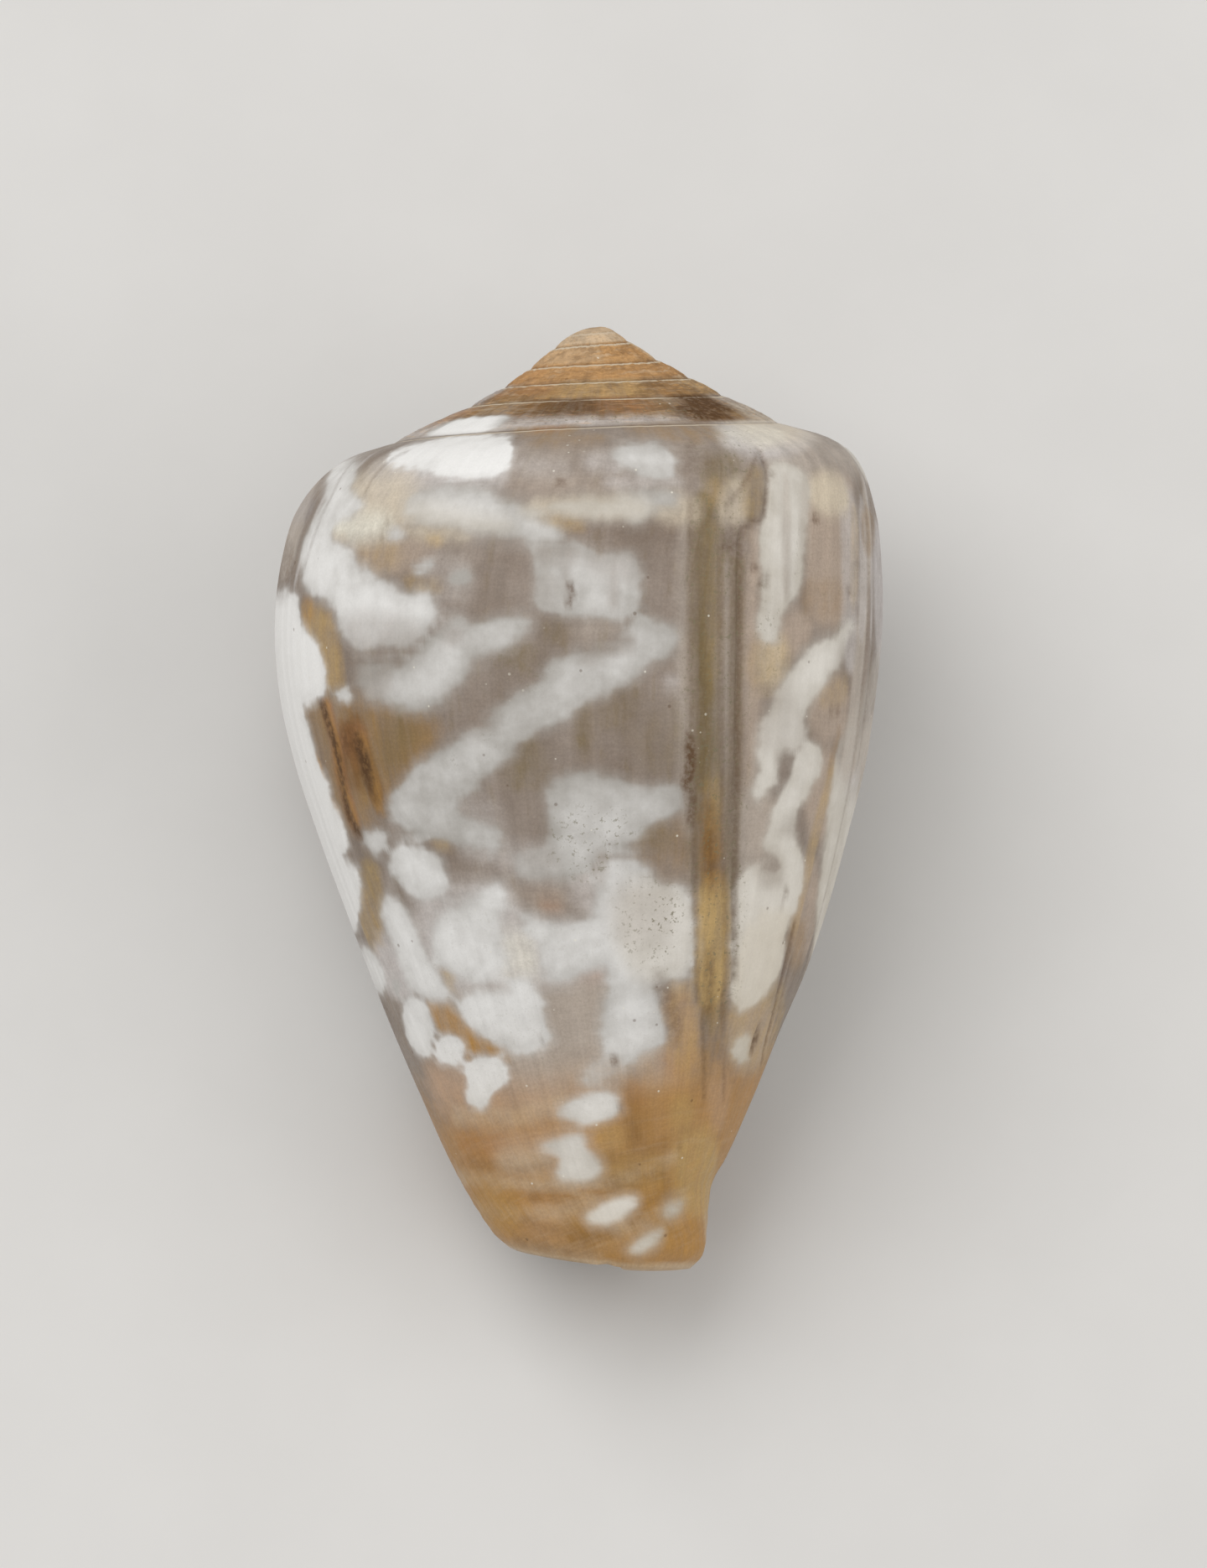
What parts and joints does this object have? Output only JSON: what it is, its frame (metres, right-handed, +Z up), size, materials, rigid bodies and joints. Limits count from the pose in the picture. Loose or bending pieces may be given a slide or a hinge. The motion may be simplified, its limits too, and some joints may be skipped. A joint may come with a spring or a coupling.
{
  "type": "cone shell",
  "caption": "Right-coiled cone shell with a low stepped spire, marbled mauve-grey and white with an amber foot, lying on its mouth side",
  "frame": {"origin": "On the ground under the middle of the shell's box, as it lies on its mouth side", "axes": "+Z up out of the shell's back, +Y from the foot towards the apex, +X to the right seen from above with the apex away"},
  "size_m": [0.0354, 0.0546, 0.0331],
  "materials": {
    "marbled_shell": "satin"
  },
  "bodies": {
    "root": {"shell": "marbled_shell"}
  },
  "joints": []
}
